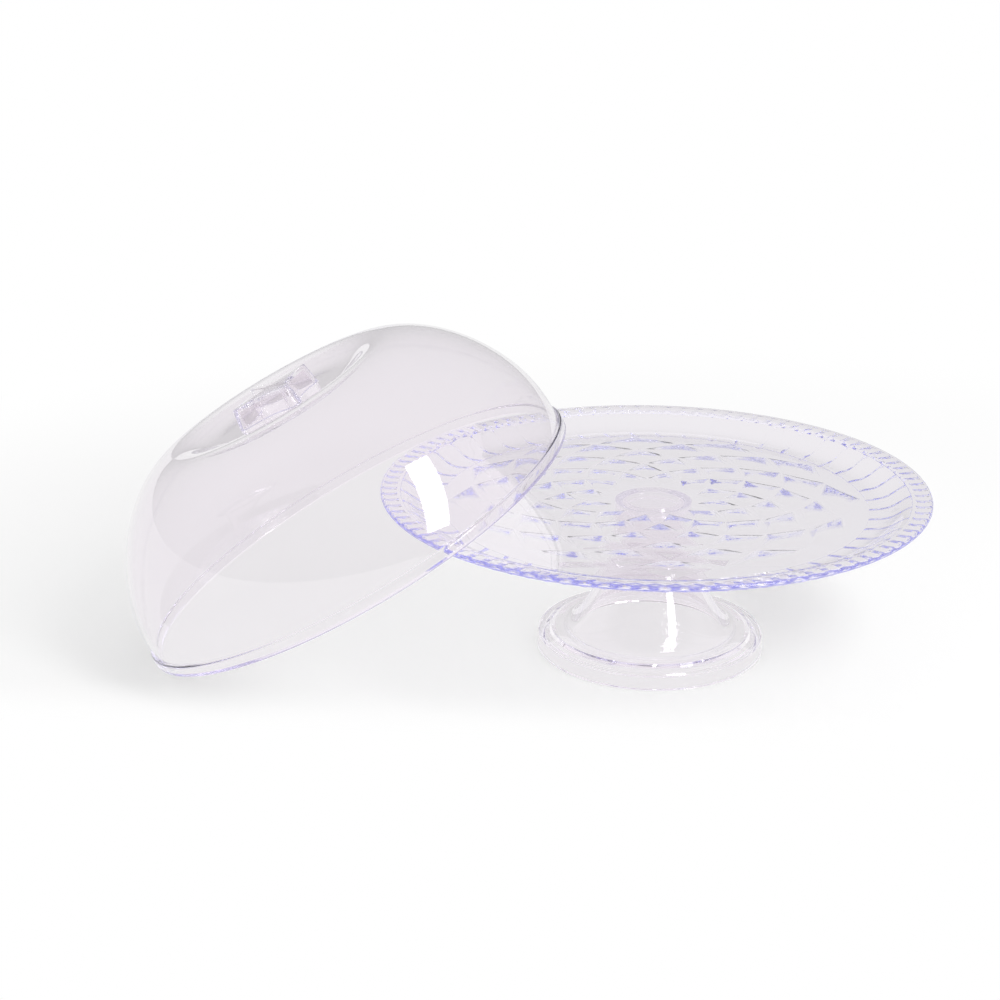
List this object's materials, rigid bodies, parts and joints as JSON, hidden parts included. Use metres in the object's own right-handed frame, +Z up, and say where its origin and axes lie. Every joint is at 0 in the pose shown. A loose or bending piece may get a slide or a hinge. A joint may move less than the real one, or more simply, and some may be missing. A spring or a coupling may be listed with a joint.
{
  "type": "cake stand with dome",
  "caption": "Clear moulded cake stand with a hollow flared foot and a separate domed lid, shown leaning on the plate's edge.",
  "frame": {"origin": "centre of the plate's flat top, where the cake stands", "axes": "+Z up along the stand's axis; the lid lies on the -X side and leans away from the plate"},
  "size_m": [0.4409, 0.3, 0.1793],
  "materials": {
    "stand_clear": "clear, glossy, faint violet tint",
    "lid_clear": "clear, glossy, faint violet tint"
  },
  "bodies": {
    "stand": {"plate": "stand_clear", "foot": "stand_clear"},
    "dome": {"dome": "lid_clear", "knob": "lid_clear"}
  },
  "joints": [
    {"name": "dome_lift", "type": "slide", "parent": "stand", "child": "dome", "axis": [-0.4802, -0.0274, 0.8767], "range_m": [0, 0.16]}
  ]
}
